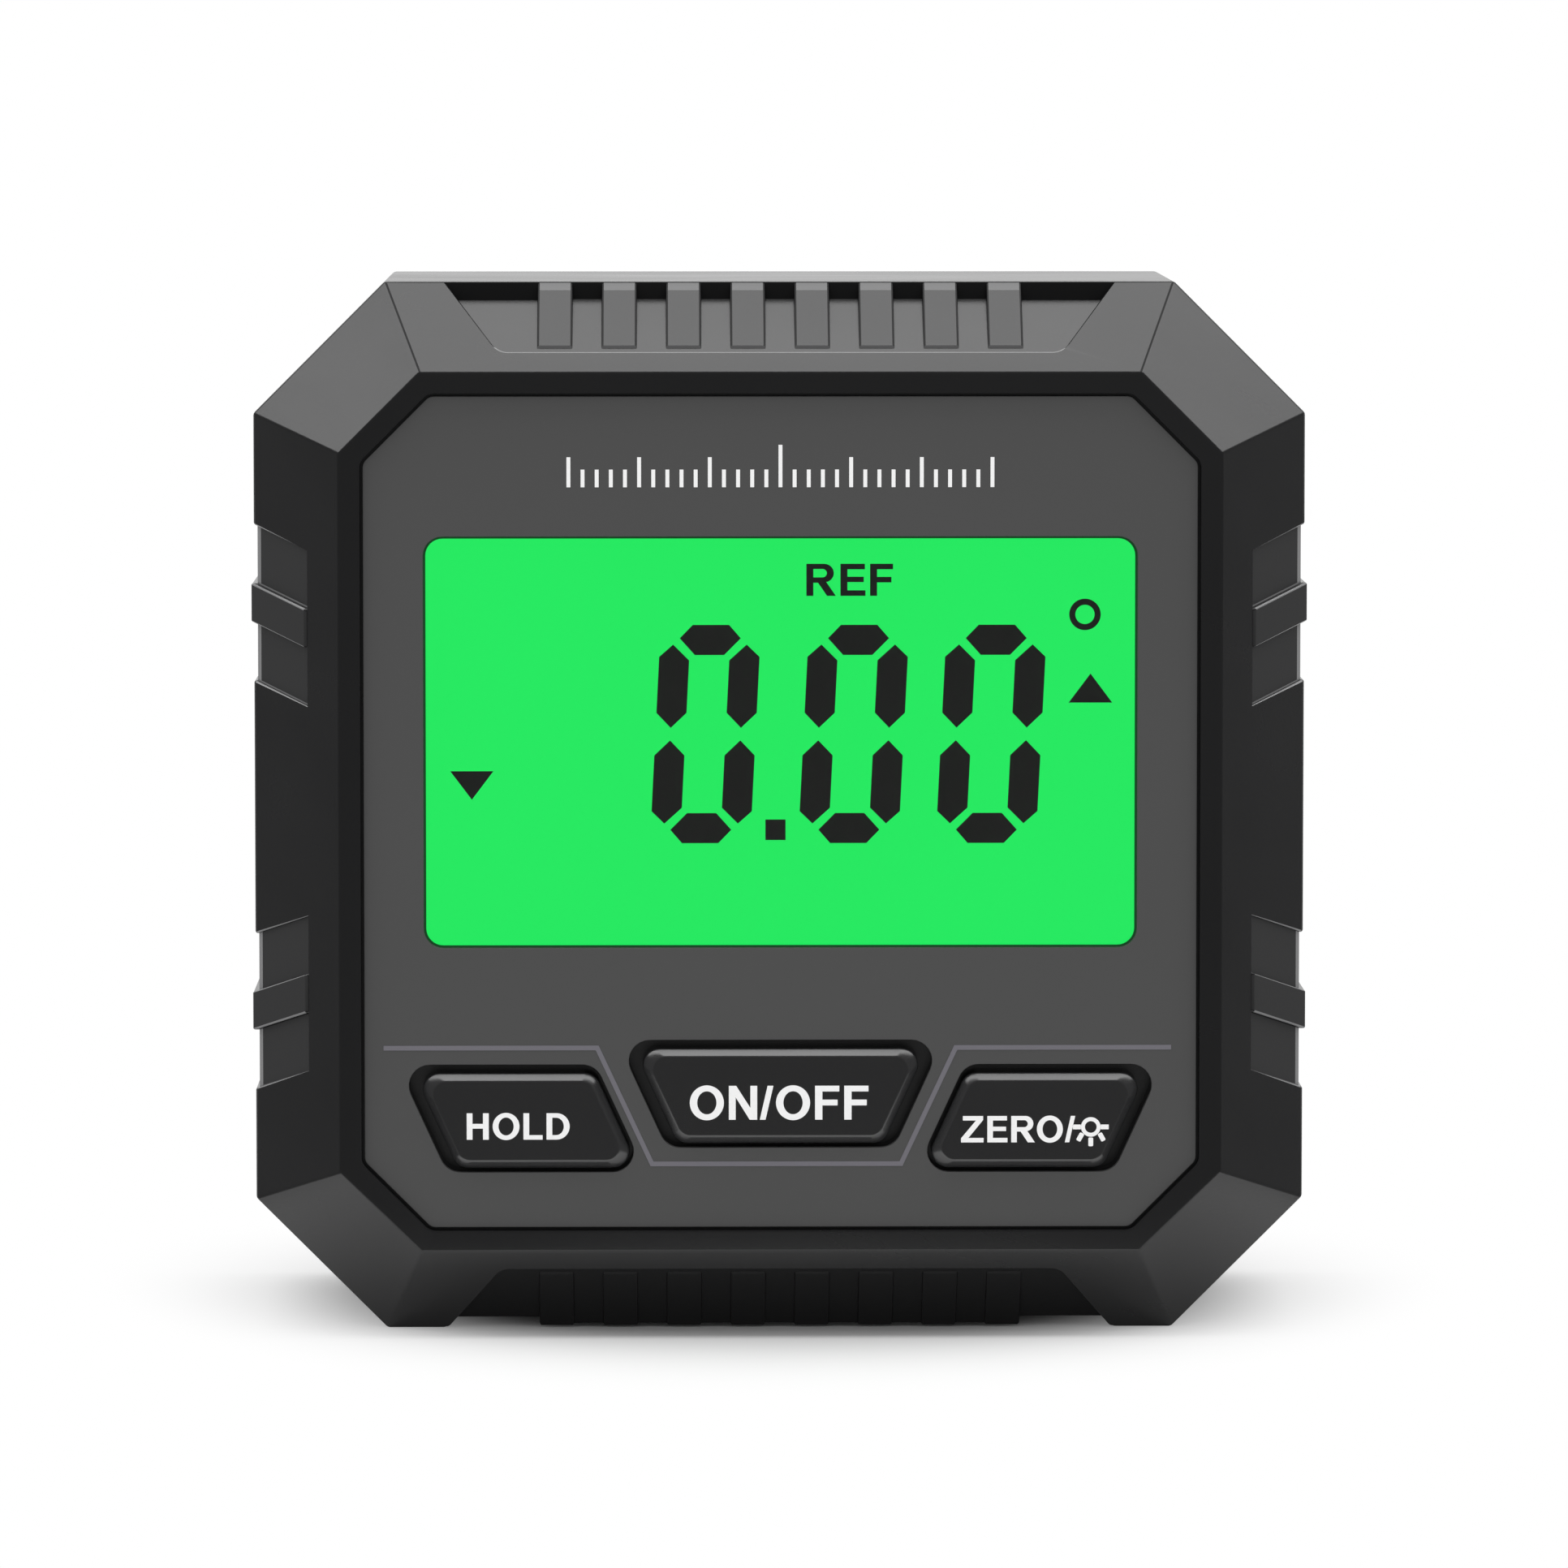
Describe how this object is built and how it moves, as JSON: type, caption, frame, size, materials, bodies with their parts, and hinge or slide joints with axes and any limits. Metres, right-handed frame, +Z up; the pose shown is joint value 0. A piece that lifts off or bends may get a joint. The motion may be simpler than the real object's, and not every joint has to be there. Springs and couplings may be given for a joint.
{
  "type": "digital angle gauge",
  "caption": "Square black digital angle gauge with cut corners, a green backlit display, pressing keys, a magnetic base and a sliding battery door.",
  "frame": {"origin": "middle of the underside, on the plane of the two base rails", "axes": "+X to the reader's right, -Y out of the display, +Z up"},
  "size_m": [0.0602, 0.03, 0.06],
  "materials": {
    "case_plastic": "satin",
    "key_plastic": "satin",
    "panel_film": "matte",
    "clear_window": "polished",
    "display_green": "lit",
    "foam": "matte",
    "guide_clear": "polished",
    "white_plastic": "matte",
    "lamp": "gloss",
    "contact_rubber": "matte",
    "board_green": "satin",
    "chip_black": "matte",
    "switch_steel": "brushed",
    "stem_plastic": "matte",
    "cell_wrap": "gloss",
    "contact_nickel": "bright",
    "magnet_nickel": "bright",
    "screw_steel": "zinc"
  },
  "bodies": {
    "case": {"front_shell": "case_plastic", "rear_shell": "case_plastic", "face_panel": "panel_film", "display_window": "clear_window", "display_gasket": "foam", "display_cell": "display_green", "light_guide": "guide_clear", "reflector_sheet": "white_plastic", "edge_lamps": "lamp", "display_frame": "white_plastic", "contact_strip": "contact_rubber", "circuit_board": "board_green", "tilt_sensor": "chip_black", "controller_chip": "chip_black", "hold_switch": "switch_steel", "power_switch": "switch_steel", "zero_switch": "switch_steel", "upper_cell": "cell_wrap", "lower_cell": "cell_wrap", "bridge_contact": "contact_nickel", "positive_contact": "contact_nickel", "negative_contact": "contact_nickel", "bridge_spring": "contact_nickel", "negative_spring": "contact_nickel", "left_magnet": "magnet_nickel", "right_magnet": "magnet_nickel", "case_screws": "screw_steel", "board_screws": "screw_steel"},
    "hold_key": {"hold_button": "key_plastic", "hold_stem": "stem_plastic"},
    "power_key": {"power_button": "key_plastic", "power_stem": "stem_plastic"},
    "zero_key": {"zero_button": "key_plastic", "zero_stem": "stem_plastic"},
    "door": {"battery_door": "case_plastic"}
  },
  "joints": [
    {"name": "hold_press", "type": "slide", "parent": "case", "child": "hold_key", "axis": [0, 1, 0], "range_m": [0, 0.0006], "stiffness_N_per_m": 1500},
    {"name": "power_press", "type": "slide", "parent": "case", "child": "power_key", "axis": [0, 1, 0], "range_m": [0, 0.0006], "stiffness_N_per_m": 1500},
    {"name": "zero_press", "type": "slide", "parent": "case", "child": "zero_key", "axis": [0, 1, 0], "range_m": [0, 0.0006], "stiffness_N_per_m": 1500},
    {"name": "door_slide", "type": "slide", "parent": "case", "child": "door", "axis": [1, 0, 0], "range_m": [0, 0.05]}
  ]
}
